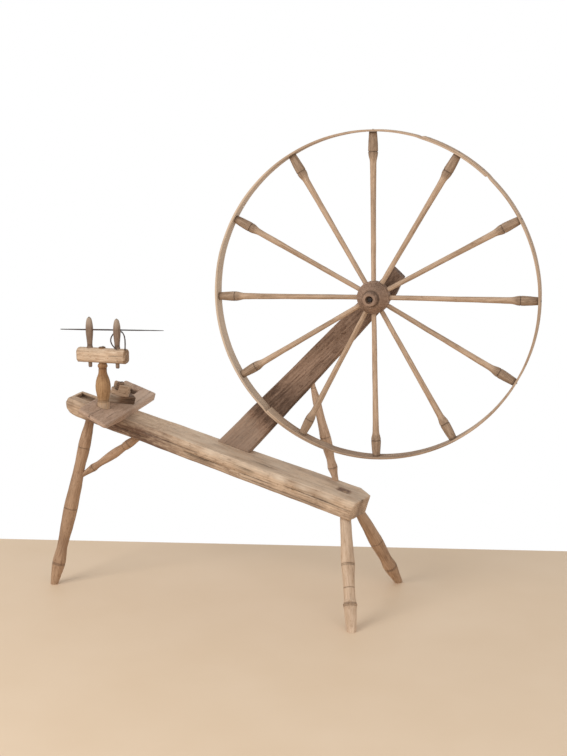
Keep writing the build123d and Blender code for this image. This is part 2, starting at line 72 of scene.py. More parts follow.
floor_material, tree, output = new_material("pale_floor")
place = add_node(tree, "ShaderNodeTexCoord")
cloud = add_node(tree, "ShaderNodeTexNoise", {"Vector": place.outputs["Object"], "Scale": 2.5, "Detail": 3})
tone = add_node(tree, "ShaderNodeMix", {
    0: cloud.outputs["Fac"], 6: linear("d9bfa0"), 7: linear("e2cbb0"),
}, data_type="RGBA")
shader = add_node(tree, "ShaderNodeBsdfPrincipled", {"Base Color": tone.outputs[2], "Roughness": 0.6})
tree.links.new(shader.outputs[0], output.inputs["Surface"])

wall_turn = Matrix.Rotation(radians(12), 4, "Z")
wall_foot = Matrix.Translation((-0.17, 0.58, 0))
floor_reach = 9.0
bm = bmesh.new()
bmesh.ops.create_grid(bm, x_segments=2, y_segments=2, size=floor_reach / 2)
bmesh.ops.translate(bm, vec=(0, -floor_reach / 2, 0), verts=bm.verts)
bmesh.ops.transform(bm, matrix=wall_foot @ wall_turn, verts=bm.verts)
floor_mesh = bpy.data.meshes.new("floor")
bm.to_mesh(floor_mesh)
bm.free()
floor_mesh.materials.append(floor_material)
floor = bpy.data.objects.new("floor", floor_mesh)
scene.collection.objects.link(floor)

world = bpy.data.worlds.new("daylight")
world.use_nodes = True
scene.world = world
tree = world.node_tree
tree.nodes.clear()
rays = add_node(tree, "ShaderNodeLightPath")
seen = add_node(tree, "ShaderNodeMath", {
    0: rays.outputs["Is Camera Ray"], 1: rays.outputs["Is Glossy Ray"],
}, operation="MAXIMUM")
seen = add_node(tree, "ShaderNodeMath", {
    0: seen.outputs[0], 1: rays.outputs["Is Transmission Ray"],
}, operation="MAXIMUM")
ambient = add_node(tree, "ShaderNodeBackground", {"Color": (1, 0.985, 0.965, 1), "Strength": 0.62})
white = add_node(tree, "ShaderNodeBackground", {"Color": (1, 1, 1, 1), "Strength": 1.0})
sky = add_node(tree, "ShaderNodeMixShader", {0: seen.outputs[0], 1: ambient.outputs[0], 2: white.outputs[0]})
add_node(tree, "ShaderNodeOutputWorld", {"Surface": sky.outputs[0]})

for lamp_name, spot, size, power in (
    ("window", (-2.6, -3.6, 3.4), 2.6, 125), ("room", (2.8, -3.4, 2.2), 3.0, 38),
):
    lamp_data = bpy.data.lights.new(lamp_name, "AREA")
    lamp_data.size = size
    lamp_data.energy = power
    lamp = bpy.data.objects.new(lamp_name, lamp_data)
    lamp.location = spot
    lamp.rotation_euler = (Vector((0, 0, 0.8)) - Vector(spot)).to_track_quat("-Z", "Y").to_euler()
    scene.collection.objects.link(lamp)

camera_data = bpy.data.cameras.new("camera")
camera_data.lens = 62.857
camera = bpy.data.objects.new("camera", camera_data)
camera.location = (1.25265, -4.3804, 1.6976)
camera.rotation_euler = (radians(79), 0, radians(16))
scene.collection.objects.link(camera)
scene.camera = camera
scene.view_settings.view_transform = "Standard"

# The bench: one thick plank of elm, split from the log and hewn with an axe, weathered to a pale
# grey brown. It slopes down to the right, its near top arris is waney, and its front has split.
mm = 0.001
hub_centre = Vector((0.32035, -0.0184, 1.112))


def at(x, y, z):
    """A point in millimetres from the wheel's centre."""
    return Vector((x, y, z)) * mm + hub_centre


bench_frame = Matrix.Translation(at(-1112, 0, -399)) @ Matrix.Rotation(radians(16.55), 4, "Y")


def old_wood(name, light, dark, stain_and_shade, bleach="d6c3ae", streak=0.5, patch=0.35, mottling=0.3, ring_mm=5.0):
    """Dry, unfinished old wood: pale and dark streaks along the fibres, mottling, broad darker
    patches, thin drying checks, pale worn arrises and dark dirt in the hollows. The grain attribute is
    each point's place in the wood, with the fibres along x. The second attribute is 1 where the wood has
    stains and where shade is painted on it, -1 where it is bleached; the third is 1 deep in a crack and also
    paints shade into holes."""
    made, tree, output = new_material(name)
    grain = add_node(tree, "ShaderNodeAttribute", attribute_name="grain").outputs["Vector"]
    worn, stained_and_shaded, split = (
        add_node(tree, "ShaderNodeAttribute", attribute_name=key).outputs["Fac"]
        for key in ("worn", "stained_and_shaded", "split")
    )

    # The patterns by their length along the grain and their width across it, in millimetres
    patterns = []
    for length_mm, width_mm, detail, roughness in (
        (110, 7, 4, 0.65), (32, 1.1, 3, 0.7), (190, 60, 4, 0.55), (26, 9, 4, 0.75), (300, 6, 1.5, 0.5),
        (17, 6, 2, 0.6),
    ):
        place = add_node(tree, "ShaderNodeMapping", {
            "Vector": grain, "Scale": (1000 / length_mm, 1000 / width_mm, 1000 / width_mm),
        })
        pattern = add_node(tree, "ShaderNodeTexNoise", {
            "Vector": place.outputs[0], "Scale": 1.0, "Detail": detail, "Roughness": roughness,
        })
        patterns.append(pattern.outputs["Fac"])
    streaks, fibres, patches, mottle, checks, specks = patterns
    place = add_node(tree, "ShaderNodeMapping", {"Vector": grain, "Scale": (1 / 16, 1, 1)})
    rings = add_node(tree, "ShaderNodeTexWave", {
        "Vector": place.outputs[0], "Scale": 314 / ring_mm, "Distortion": 7.0, "Detail": 2.0,
        "Detail Scale": 0.45,
    }, bands_direction="Z").outputs["Fac"]

    # A check is a thin line where its pattern passes through its middle value
    ramp = add_node(tree, "ShaderNodeValToRGB", {"Fac": checks})
    ramp.color_ramp.elements[0].position = 0.478
    ramp.color_ramp.elements[1].position = 0.522
    ramp.color_ramp.elements[0].color = (0, 0, 0, 1)
    ramp.color_ramp.elements[1].color = (0, 0, 0, 1)
    ramp.color_ramp.elements.new(0.5).color = (1, 1, 1, 1)

    # Each share is a pattern brought from its own range to the range that is wanted
    rough_edge = add_node(tree, "ShaderNodeMath", {0: mottle, 1: streaks}, operation="ADD").outputs[0]
    shares = []
    for value, low, high, first, last in (
        (patches, 0.42, 0.6, 0.1, 1.0), (specks, 0.6, 0.7, 0.0, mottling * 1.3),
        (patches, 0.46, 0.72, 0.0, patch), (rough_edge, 0.8, 1.2, 0.55, 1.3), (worn, -0.05, -0.7, 0.0, 0.6),
        (worn, 0.15, 0.9, 0.0, 0.3), (streaks, 0.3, 0.7, 0.62, 0.86),
    ):
        share = add_node(tree, "ShaderNodeMapRange", {
            "Value": value, "From Min": low, "From Max": high, "To Min": first, "To Max": last,
        })
        shares.append(share.outputs[0])
    checked, speckled, blotched, ragged, grimy, rubbed, dull = shares
    products = []
    for kind, a, b in (
        ("MULTIPLY", ramp.outputs[0], checked), ("MULTIPLY", stained_and_shaded, ragged), ("POWER", split, 0.6),
    ):
        products.append(add_node(tree, "ShaderNodeMath", {0: a, 1: b}, operation=kind).outputs[0])
    checks, soaked_and_shaded, deep = products

    weights = ((streaks, streak * 2.6), (fibres, 0.84), (mottle, mottling * 3.4), (rings, 0.26))
    darkness = 0.42 - sum(weight for _, weight in weights) / 2
    for pattern, weight in (*weights, (checks, 0.45), (speckled, 1.0)):
        darkness = add_node(tree, "ShaderNodeMath", {
            0: pattern, 1: weight, 2: darkness,
        }, operation="MULTIPLY_ADD").outputs[0]
    faded, inside = (
        add_node(tree, "ShaderNodeMath", {0: share, 1: factor}, operation="MULTIPLY").outputs[0]
        for share, factor in ((soaked_and_shaded, -1.0), (deep, 0.85))
    )
    # Mixed in turn: dark streaks, patches, stains and painted shadow, bleach, dirt in the hollows, dark
    # cracks and painted shade in holes, pale rubbed ridges
    body = linear(light)
    for share, colour in (
        (darkness, dark), (blotched, stain_and_shade), (soaked_and_shaded, stain_and_shade), (faded, bleach), (grimy, "2e231b"),
        (inside, "2a2019"), (rubbed, light),
    ):
        body = add_node(tree, "ShaderNodeMix", {
            0: share, 6: body, 7: linear(colour),
        }, data_type="RGBA").outputs[2]

    relief = 0.0
    for pattern, weight in ((fibres, 0.35), (streaks, 0.6), (checks, -1.1)):
        relief = add_node(tree, "ShaderNodeMath", {
            0: pattern, 1: weight, 2: relief,
        }, operation="MULTIPLY_ADD").outputs[0]
    bump = add_node(tree, "ShaderNodeBump", {"Height": relief, "Distance": 0.0012, "Strength": 0.75})
    shader = add_node(tree, "ShaderNodeBsdfPrincipled", {
        "Base Color": body, "Roughness": dull, "Normal": bump.outputs[0], "Specular IOR Level": 0.3,
    })
    tree.links.new(shader.outputs[0], output.inputs["Surface"])
    return made


def copy_of(name, piece_frame):
    """A merged copy of a CAD node, in the piece's own frame, with its flat faces whole again."""
    made = bmesh.new()
    made.from_mesh(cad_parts[name].data)
    bmesh.ops.remove_doubles(made, verts=made.verts, dist=2e-6)
    bmesh.ops.transform(made, matrix=piece_frame.inverted(), verts=made.verts)
    bmesh.ops.dissolve_limit(made, angle_limit=radians(0.4), verts=made.verts, edges=made.edges)
    made.normal_update()
    return made


def ease_arrises(bm, offset, chosen):
    """Rounds the chosen outer edges, as handling does."""
    edges = [e for e in bm.edges if e.is_manifold and e.calc_face_angle_signed(0) > 0.5 and chosen(e)]
    bmesh.ops.bevel(
        bm, geom=edges, offset=offset, offset_type="OFFSET", affect="EDGES", segments=2, profile=0.5,
        material=-1, clamp_overlap=True,
    )


def cut_up(bm, steps):
    """Cuts a piece's faces into small ones, so that its surface can be worked."""
    for axis, step in enumerate(steps):
        places = [v.co[axis] for v in bm.verts]
        low, high = min(places), max(places)
        count = max(2, round((high - low) / (step * mm)))
        normal = Vector([float(i == axis) for i in range(3)])
        for i in range(1, count):
            bmesh.ops.bisect_plane(
                bm, geom=bm.verts[:] + bm.edges[:] + bm.faces[:], dist=1e-6,
                plane_co=normal * (low + (high - low) * i / count), plane_no=normal,
            )


lip_mark = 0.02


def open_split(bm, side, start, end, width, depth):
    """A drying crack: the face is cut along a line and the cut's middle is pressed in. The crack's
    attribute is 1 there, and barely over 0 on its lips, so that they take no marks of wear."""
    side, start, end = Vector(side), Vector(start) * mm, Vector(end) * mm
    along = (end - start).normalized()
    across = side.cross(along).normalized()
    length = (end - start).length
    face_reach = 20 * mm
    bm.normal_update()

    def near(co, slack):
        offset = co - start
        run = offset.dot(along)
        level = abs(offset.dot(side)) < face_reach
        return -slack < run < length + slack and abs(offset.dot(across)) < slack and level

    for shift in (-0.5, 0, 0.5):
        faces = [f for f in bm.faces if f.normal.dot(side) > 0.6 and near(f.calc_center_median(), 16 * mm)]
        edges = {e for f in faces for e in f.edges}
        verts = {v for f in faces for v in f.verts}
        bmesh.ops.bisect_plane(
            bm, geom=faces + list(edges) + list(verts), dist=1e-7,
            plane_co=start + across * width * mm * shift, plane_no=across,
        )
    dirt_and_shade = bm.verts.layers.float.get("split") or bm.verts.layers.float.new("split")
    bm.normal_update()
    for v in bm.verts:
        offset = v.co - start
        run, away = offset.dot(along) / length, abs(offset.dot(across)) / mm
        level = abs(offset.dot(side)) < face_reach and v.normal.dot(side) > 0.3
        if 0 < run < 1 and away < width * 0.6 and level:
            middle = away < width * 0.1
            v[dirt_and_shade] = 1.0 if middle else lip_mark
            if middle:
                v.co -= side * depth * mm * sin(pi * run) ** 0.5


def follow_grain(bm, seed):
    """Gives each point its place in the wood, so that the grain runs along the piece's x."""
    layer = bm.verts.layers.float_vector.new("grain")
    for v in bm.verts:
        v[layer] = v.co + Vector((0.71, 0.37, 0.53)) * seed


def hew(bm, depth, length, width, seed, spare=None):
    """Small swells and hollows of hand work, in millimetres, longer along the grain."""
    bm.normal_update()
    moves = []
    for v in bm.verts:
        if spare and spare(v.co):
            continue
        spot = Vector((v.co.x / length, v.co.y / width, v.co.z / width)) * 1000 + Vector((seed, 3.1, 7.7))
        moves.append((v, v.normal * depth * mm * noise.fractal(spot, 0.9, 2.1, 3)))
    for v, move in moves:
        v.co += move


def mark_wear(bm, rounds=2):
    """Marks ridges, which wear pale, with positive numbers and hollows with negative ones."""
    worn = bm.verts.layers.float.new("worn")
    dirt_and_shade = bm.verts.layers.float.get("split")
    bm.normal_update()
    for v in bm.verts:
        bends = [e.calc_face_angle_signed(0) for e in v.link_edges]
        in_split = dirt_and_shade and v[dirt_and_shade]
        v[worn] = 0 if in_split else max(-1, min(1, max(bends, key=abs, default=0) / 0.7))
    for _ in range(rounds):
        blurred = []
        for v in bm.verts:
            around = [e.other_vert(v)[worn] for e in v.link_edges]
            blurred.append((v, 0.5 * v[worn] + 0.5 * sum(around) / max(1, len(around))))
        for v, value in blurred:
            v[worn] = value


def stain_and_shade(bm, rule):
    """Stains the wood and paints shade on it by a rule of its place in millimetres: 1 takes the full colour
    and -1 is bleached.
    """
    layer = bm.verts.layers.float.new("stained_and_shaded")
    for v in bm.verts:
        v[layer] = max(-1, min(1, rule(*(v.co / mm))))


def fade(value, start, end):
    """0 at the start to 1 at the end, smoothly."""
    share = max(0, min(1, (value - start) / (end - start)))
    return share * share * (3 - 2 * share)


def stand_for(bm, name, place, material, body, slot, *nodes):
    """Makes the finished piece, puts it in place and lets it stand for its CAD nodes."""
    bmesh.ops.transform(bm, matrix=place, verts=bm.verts)
    bmesh.ops.triangulate(bm, faces=[f for f in bm.faces if len(f.verts) > 4])
    mesh = bpy.data.meshes.new(name)
    bm.to_mesh(mesh)
    bm.free()
    mesh.shade_smooth()
    mesh.set_sharp_from_angle(angle=radians(42))
    mesh.materials.append(material)
    piece = bpy.data.objects.new(name, mesh)
    scene.collection.objects.link(piece)
    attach(piece, body)
    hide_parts(*nodes)


weathered_elm = old_wood(
    "weathered_elm", "d6bb9f", "9d8068", "6c5242", bleach="e2cfb8", streak=0.4, patch=0.5, mottling=0.5,
    ring_mm=9,
)
bm = copy_of("bench", bench_frame)
ease_arrises(bm, 1.6 * mm, lambda e: e.calc_length() > 0.1)
cut_up(bm, (12, 9, 9))
for start, end, width, depth in (
    ((300, -73.5, -20), (520, -69, -23), 1.6, 4), ((470, -70, -36), (800, -63, -39), 2.0, 6),
    ((610, -67, -16), (740, -64, -18), 1.4, 4), ((700, -65, -50), (1010, -58, -54), 1.6, 4),
    ((860, -62, -27), (1105, -56, -33), 2.2, 6), ((180, -76, -34), (330, -73, -37), 1.4, 4),
):
    open_split(bm, (0, -1, 0), start, end, width, depth)
for start, end, width, depth in (
    ((330, 20, 0), (520, 24, 0), 1.2, 3), ((700, -10, 0), (985, -4, 0), 1.4, 4),
    ((520, -42, 0), (690, -38, 0), 1.2, 3),
):
    open_split(bm, (0, 0, 1), start, end, width, depth)
follow_grain(bm, 1)
hew(bm, 1.5, 130, 34, 1.0, lambda co: co.z > -0.018 and 0.004 < co.x < 0.22 and -0.035 < co.y < 0.05)
mark_wear(bm)


def bench_stain(s, y, height):
    """A painted shadow of the slab on the bench's front and painted shade in the channel; dark along
    the lower arris and round the front leg's tenon. Bleached on the near upper arris and on the open top."""
    front = fade(-y, 40, 62)
    # Painted shadow of the slab on the bench's front, deepest low down
    slab_shadow = front * fade(s, 60, 130) * (1 - fade(s, 300, 520)) * (0.55 + 0.45 * fade(-height, 6, 22))
    lower = 0.4 * front * fade(-height, 40, 58) * (0.4 + 0.9 * abs(noise.noise(Vector((s / 60, 1, 2)))))
    arris = front * (1 - fade(-height, 12, 30)) * fade(s, 420, 620)
    arris *= 0.5 + noise.noise(Vector((s / 45, 5, 2)))
    from_tenon = max(abs(s - 1050) / 1.25, abs(y - 37))
    mortise = 1.6 * (1 - fade(from_tenon, 15, 22)) * fade(height, -20, -2)
    open_top = 0.45 * fade(height, -4, -1) * fade(s, 330, 460)
    open_top *= 0.7 + noise.noise(Vector((s / 70, y / 20, 9)))
    # Painted shade in the channel, below the bench's top
    channel = 0.35 * fade(-height, 4, 12) * fade(s, 0, 9)
    channel *= (1 - fade(s, 225, 230)) * (1 - fade(abs(y - 8), 38, 42))
    return slab_shadow + lower + mortise + channel - 0.6 * max(0, arris) - open_top


stain_and_shade(bm, bench_stain)
stand_for(bm, "hewn_bench", bench_frame, weathered_elm, "stand", "weathered_bench", "bench")

# The legs and the stretcher: turned from split billets, scored with rings for ornament, and
# driven into the bench. The feet are sawn level with the floor.


def lathe_frame(start, end):
    """A turned piece's own frame: x runs up its axis from its start."""
    return Matrix.Translation(start) @ (end - start).to_track_quat("X", "Z").to_matrix().to_4x4()


def turn(runs, scores=(), sides=40, hollow=False, step=6.0):
    """A piece turned about x. Each run of (height, radius) is smooth, steps join the runs, and each
    score (height, depth) is a fine groove. A hollow piece's runs close on themselves."""
    line = []
    for run in runs:
        slopes = []
        for i in range(len(run)):
            before, after = run[max(i - 1, 0)], run[min(i + 1, len(run) - 1)]
            rise = after[0] - before[0]
            slopes.append((after[1] - before[1]) / rise if rise else 0)
        for i in range(len(run) - 1):
            (h0, r0), (h1, r1) = run[i], run[i + 1]
            third = (h1 - h0) / 3
            count = max(1, round(abs(h1 - h0) / step))
            handles = [
                Vector((h0, r0, 0)), Vector((h0 + third, r0 + third * slopes[i], 0)),
                Vector((h1 - third, r1 - third * slopes[i + 1], 0)), Vector((h1, r1, 0)),
            ]
            line += [tuple(p)[:2] for p in geometry.interpolate_bezier(*handles, count + 1)[:-1]]
        line.append(run[-1])
    for height, depth in scores:
        radius = min(line, key=lambda p: abs(p[0] - height))[1]
        line = [p for p in line if abs(p[0] - height) > 2.4]
        line += [(height + d, radius - depth * cut) for d, cut in ((-1.8, 0), (-0.6, 1), (0.6, 1), (1.8, 0))]
        line.sort(key=lambda p: p[0])
    if not hollow:
        line = [(line[0][0], 0)] + line + [(line[-1][0], 0)]
    bm = bmesh.new()
    verts = [bm.verts.new((height * mm, radius * mm, 0)) for height, radius in line]
    edges = [bm.edges.new(pair) for pair in zip(verts, verts[1:])]
    if hollow:
        edges.append(bm.edges.new((verts[-1], verts[0])))
    bmesh.ops.spin(
        bm, geom=verts + edges, cent=(0, 0, 0), axis=(1, 0, 0), angle=tau, steps=sides, use_merge=True
    )
    bmesh.ops.remove_doubles(bm, verts=bm.verts, dist=1e-6)
    bmesh.ops.recalc_face_normals(bm, faces=bm.faces)
    return bm


def darken_scores(bm, scores):
    """Grime lies in the scored rings."""
    layer = bm.verts.layers.float.get("split") or bm.verts.layers.float.new("split")
    for height, _ in scores:
        for v in bm.verts:
            away = abs(v.co.x / mm - height)
            if away < 2.2:
                v[layer] = 0.35 if away < 1.2 else lip_mark


def turned_piece(
    name, start, end, runs, scores, material, body, slot, nodes, seed, depth=0.7, level=False, rule=None,
    **shape
):
    """A turned piece from its start to its end, with the marks of the tool and of wear, and dirt in
    its end grain. A level piece is sawn off at the floor, and the rule is one for its stains."""
    place = lathe_frame(start, end)
    bm = turn(runs, scores, **shape)
    darken_scores(bm, scores)
    dirt_and_shade = bm.verts.layers.float["split"]
    ends = min(v.co.x for v in bm.verts), max(v.co.x for v in bm.verts)
    for v in bm.verts:
        if v.co.x in ends:
            v[dirt_and_shade] = 0.5
    follow_grain(bm, seed)
    hew(bm, depth, 70, 18, seed)
    mark_wear(bm, 1)
    if rule:
        stain_and_shade(bm, rule)
    if level:
        bmesh.ops.transform(bm, matrix=place, verts=bm.verts)
        cut = bmesh.ops.bisect_plane(
            bm, geom=bm.verts[:] + bm.edges[:] + bm.faces[:], plane_co=(0, 0, 0), plane_no=(0, 0, 1),
            clear_inner=True,
        )
        rim_edges = [e for e in cut["geom_cut"] if isinstance(e, bmesh.types.BMEdge)]
        bmesh.ops.edgeloop_fill(bm, edges=rim_edges)
        place = Matrix()
    stand_for(bm, name, place, material, body, slot, *nodes)


brown_birch = old_wood("brown_birch", "be9d80", "8a6a50", "75563f", streak=0.6, patch=0.5)
pale_birch = old_wood("pale_birch", "d9bfa5", "ab8d72", "9a7c63", streak=0.5, patch=0.3)
left_foot, left_top = at(-1188.5, -78, -1112), at(-1052, -7, -474)
front_foot, front_top = at(-11.8, -233, -1112), at(-90, -9.4, -771.8)
rear_foot, rear_top = at(48.4, 294, -1112), at(-73, 102.5, -776)
left_curve = [
    (-24, 11), (0, 13.5), (23, 17), (49, 20.5), (84, 24.5), (115, 22.3), (150, 19), (230, 23.4),
    (298, 25.8), (375, 23.6), (455, 20.2), (534, 23), (585, 20), (620, 17),
]
front_curve = [
    (-24, 13), (0, 15.5), (41, 19.8), (77, 21.5), (91, 24.6), (106, 20.3), (141, 19.6), (195, 21.5),
    (234, 24.4), (270, 23), (335, 20), (375, 20.3),
]
rear_curve = [
    (-24, 9), (0, 13), (22, 16.2), (45, 19.5), (90, 25), (136, 20.8), (180, 23.5), (226, 25.2),
    (271, 23), (330, 20.6), (365, 18.5),
]
for name, node, foot, top, curve, scores, tenon, neck, material, slot, seed, shade in (
    ("left_leg", "leg_left", left_foot, left_top, left_curve,
     ((80, 1.2), (85, 1.4), (298, 1.2), (534, 1.2)), 24, 15.8, brown_birch, "brown_legs", 2, 0.45),
    ("front_leg", "leg_front_right", front_foot, front_top, front_curve,
     ((86, 1.2), (91, 1.6), (96, 1.2), (150, 1.2), (229, 1.2), (234, 1.4)), 84, 19.5, pale_birch, "pale_leg",
     3, -0.3),
    ("rear_leg", "leg_rear_right", rear_foot, rear_top, rear_curve,
     ((86, 1.2), (91, 1.4), (226, 1.2)), 36, 17.0, brown_birch, "brown_legs", 4, -0.2),
):
    length = (top - foot).length / mm
    runs = [curve + [(length - 8, neck), (length, neck - 0.4)], [(length, 14), (length + tenon, 14)]]
    turned_piece(
        name, foot, top, runs, scores, material, "stand", slot, [node], seed, depth=1.1, level=True, sides=36,
        rule=lambda x, y, z: 0.75 * fade(x, length + 20, length + 60) + shade * fade(x, 0.7 * length, length),
    )

stretcher_runs = [
    [(8, 8), (35, 9), (58, 12), (76, 14.6), (96, 12.2), (112, 12.5), (150, 16), (180, 16.8), (210, 14.4),
     (222, 13.8)],
    [(225, 15.5), (245, 16.4), (268, 14), (297, 10.6), (314, 10)],
]
turned_piece(
    "left_stretcher", at(-1100, -33, -709), at(-857, -9, -538), stretcher_runs, ((76, 1.0), (243, 1.0)),
    brown_birch, "stand", "brown_legs", ["stretcher"], 5, sides=32,
)

# The wheel post: a flat oak board that leans to the right, tenoned and pegged in the bench. It is
# darker than the rest, with a stain that runs up from the bench. A turned strut props it behind.
dark_oak = old_wood(
    "dark_oak", "a18571", "6a5040", "4b382c", bleach="ab9583", streak=0.45, patch=0.5, mottling=0.55,
    ring_mm=11,
)
brown_ash = old_wood("brown_ash", "cfb197", "9c7c62", "6f553f", streak=0.6, patch=0.5)
post_lean = radians(44.6)
post_frame = Matrix.Translation(at(-340, 78, -640)) @ Matrix.Rotation(-post_lean, 4, "Y")
bm = copy_of("wheel_post", post_frame)
ease_arrises(bm, 1.8 * mm, lambda e: e.calc_length() > 0.08)
cut_up(bm, (13, 9, 9))
for start, end, width, depth in (
    ((150, -20, 18), (430, -20, 24), 1.6, 4), ((330, -20, -8), (640, -20, -14), 1.8, 5),
    ((560, -20, 22), (830, -20, 18), 1.4, 4),
):
    open_split(bm, (0, -1, 0), start, end, width, depth)
follow_grain(bm, 6)
hew(bm, 1.3, 150, 36, 6.0)
mark_wear(bm)


def post_stain(x, y, z):
    """Bleached where it leaves the bench, with a dark tide mark above, and dark at the top."""
    ragged = 24 * noise.noise(Vector((x / 30, y / 30, z / 18)))
    tide = fade(x + ragged, 40, 90) * (1 - fade(x + ragged, 150, 300))
    return 0.75 * tide + 0.65 * fade(x, 420, 760) - 0.5 * (1 - fade(x + ragged, 20, 70))


stain_and_shade(bm, post_stain)
stand_for(bm, "leaning_post", post_frame, dark_oak, "stand", "dark_post", "wheel_post")
brace_foot, brace_top = at(-155, 112, -683), at(-233, 78, -332)
brace_length = (brace_top - brace_foot).length / mm
brace_runs = [
    [(-30, 9), (-4, 9)],
    [(-3, 10), (20, 12), (38, 15.5), (50, 18), (62, 16.2), (82, 14.8), (120, 18.6), (165, 19.8),
     (200, 16.6), (236, 14.6), (275, 15), (310, 14), (335, 11.4), (350, 9.6)],
    [(350, 9), (brace_length + 28, 9)],
]
turned_piece(
    "rear_strut", brace_foot, brace_top, brace_runs, ((50, 1.2), (165, 0.8)), brown_ash, "stand",
    "dark_brace", ["post_brace"], 7, sides=32,
)

# Small joinery: the pegs that lock the post, and the wedges that spread the tenons. All of it is
# dark, dry heartwood, and it keeps the shape of the CAD.


def plain_node(name, material):
    """A CAD node whose shape is right, with its own finish."""
    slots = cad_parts[name].data.materials
    slots.clear()
    slots.append(material)


dark_heartwood, tree, output = new_material("dark_heartwood")
place = add_node(tree, "ShaderNodeTexCoord")
flow = add_node(tree, "ShaderNodeMapping", {"Vector": place.outputs["Object"], "Scale": (600, 600, 60)})
flecks = add_node(tree, "ShaderNodeTexNoise", {"Vector": flow.outputs[0], "Scale": 1.0, "Detail": 3.0})
tone = add_node(tree, "ShaderNodeMix", {
    0: flecks.outputs["Fac"], 6: linear("5b4636"), 7: linear("8b725c"),
}, data_type="RGBA")
bump = add_node(tree, "ShaderNodeBump", {"Height": flecks.outputs["Fac"], "Distance": 0.0004})
shader = add_node(tree, "ShaderNodeBsdfPrincipled", {
    "Base Color": tone.outputs[2], "Roughness": 0.75, "Normal": bump.outputs[0],
})
tree.links.new(shader.outputs[0], output.inputs["Surface"])
for name in ("leg_wedge", "post_pegs", "post_wedge"):
    plain_node(name, dark_heartwood)

# The ironwork: the fixed axle with its collar and key, forged and left black, rusted brown where
# it is handled least.
black_iron, tree, output = new_material("black_forged_iron")
place = add_node(tree, "ShaderNodeTexCoord")
scale_marks = add_node(tree, "ShaderNodeTexNoise", {
    "Vector": place.outputs["Object"], "Scale": 260.0, "Detail": 4.0, "Roughness": 0.6,
})
rust = add_node(tree, "ShaderNodeTexNoise", {"Vector": place.outputs["Object"], "Scale": 70.0, "Detail": 3.0})
rust_share = add_node(tree, "ShaderNodeMapRange", {
    "Value": rust.outputs["Fac"], "From Min": 0.45, "From Max": 0.65, "To Min": 0.0, "To Max": 0.75,
})
tone = add_node(tree, "ShaderNodeMix", {
    0: rust_share.outputs[0], 6: linear("35302e"), 7: linear("4a352a"),
}, data_type="RGBA")
sheen = add_node(tree, "ShaderNodeMapRange", {
    "Value": rust.outputs["Fac"], "From Min": 0.4, "From Max": 0.65, "To Min": 0.42, "To Max": 0.8,
})
metal_share = add_node(tree, "ShaderNodeMapRange", {
    "Value": rust.outputs["Fac"], "From Min": 0.4, "From Max": 0.65, "To Min": 0.6, "To Max": 0.15,
})
bump = add_node(tree, "ShaderNodeBump", {"Height": scale_marks.outputs["Fac"], "Distance": 0.0004})
shader = add_node(tree, "ShaderNodeBsdfPrincipled", {
    "Base Color": tone.outputs[2], "Roughness": sheen.outputs[0], "Metallic": metal_share.outputs[0],
    "Normal": bump.outputs[0],
})
tree.links.new(shader.outputs[0], output.inputs["Surface"])
for name in ("axle", "axle_key"):
    plain_node(name, black_iron)

# The hub: turned from one block, with a drum and a stepped nose towards the
# spinner. Hands and grease have made it the darkest part of the wheel.
hub_elm = old_wood("greasy_hub_elm", "a48874", "725847", "4f3d31", streak=0.6, patch=0.5, ring_mm=4)
hub_runs = [
    [(0, 9.05), (0.6, 26)], [(0.6, 26), (14, 28)], [(14.2, 36), (22, 42), (30, 51)],
    [(32, 54), (40, 55.5), (52, 55.5), (66, 55.5), (74, 54)], [(76, 51), (84, 45)],
    [(86, 43), (98, 34)], [(99, 27), (104, 24.6), (122, 23.6), (127.6, 22)],
    [(128, 21), (128.2, 13.5)], [(128, 13.4), (114.2, 13.4)], [(114, 13.4), (114, 9.05)],
]
bm = turn(hub_runs, sides=72, hollow=True, step=3.5)
follow_grain(bm, 8)
hew(bm, 0.5, 30, 20, 8.0, lambda co: co.yz.length < 0.0125)
mark_wear(bm, 1)
hub_frame = lathe_frame(at(0, 52, 0), at(0, -76, 0))
stand_for(bm, "turned_hub", hub_frame, hub_elm, "wheel", "grey_hub", "hub")

# The spokes: twelve slim turned bars with a tenon in the hub, a bead and a long bulb against the
# rim. No two are quite alike. The shafts are pale, the bulbs greyer, each with one scored ring.
spoke_wood = old_wood("dry_spoke_birch", "cbb096", "97795f", "77614f", streak=0.6, patch=0.35)
rim_radius, rim_thickness, rim_width, lap_step = 560.0, 7.0, 57.0, 2.0
rim_inner = rim_radius - rim_thickness
spoke_turn = 0.7
spoke_leans = (0.3, -0.5, -1.4, 0.0, 0.3, 0.0, 1.0, 2.4, 1.1, 0.9, 1.8, 0.7)
bulb_lengths = (93, 88, 86, 83, 86, 84, 79, 84, 86, 85, 88, 90)
lapped_spokes = (1, 7)


def outward(angle):
    """The direction from the hub at an angle in degrees, anticlockwise from the right."""
    return Vector((cos(radians(angle)), 0, sin(radians(angle))))


spoke_angles = [90 - i * 30 + spoke_turn + spoke_leans[i] for i in range(12)]
for index, angle in enumerate(spoke_angles):
    end = rim_inner - 0.2 - (lap_step if index in lapped_spokes else 0)
    bulb = bulb_lengths[index]
    neck = end - bulb
    runs = [
        [(33.5, 6.95), (55, 6.95)],
        [(56, 8.2), (160, 8.6), (330, 9.4), (neck - 60, 10.3), (neck - 22, 10.8), (neck - 6, 11.3),
         (neck + 4, 13.0), (neck + 14, 15.6), (end - 0.66 * bulb, 16.8), (end - 0.4 * bulb, 15.9),
         (end - 0.16 * bulb, 14.3), (end, 13.2)],
    ]
    scores = ((end - 0.7 * bulb, 1.5),)
    turned_piece(
        f"turned_spoke_{index + 1:02d}", at(0, 0, 0), at(0, 0, 0) + outward(angle), runs, scores, spoke_wood,
        "wheel", "spoke_wood", [f"spoke_{index + 1:02d}"], 10 + index, depth=0.55, sides=28,
        rule=lambda x, y, z: 0.6 * fade(x, neck - 6, neck + 16),
    )

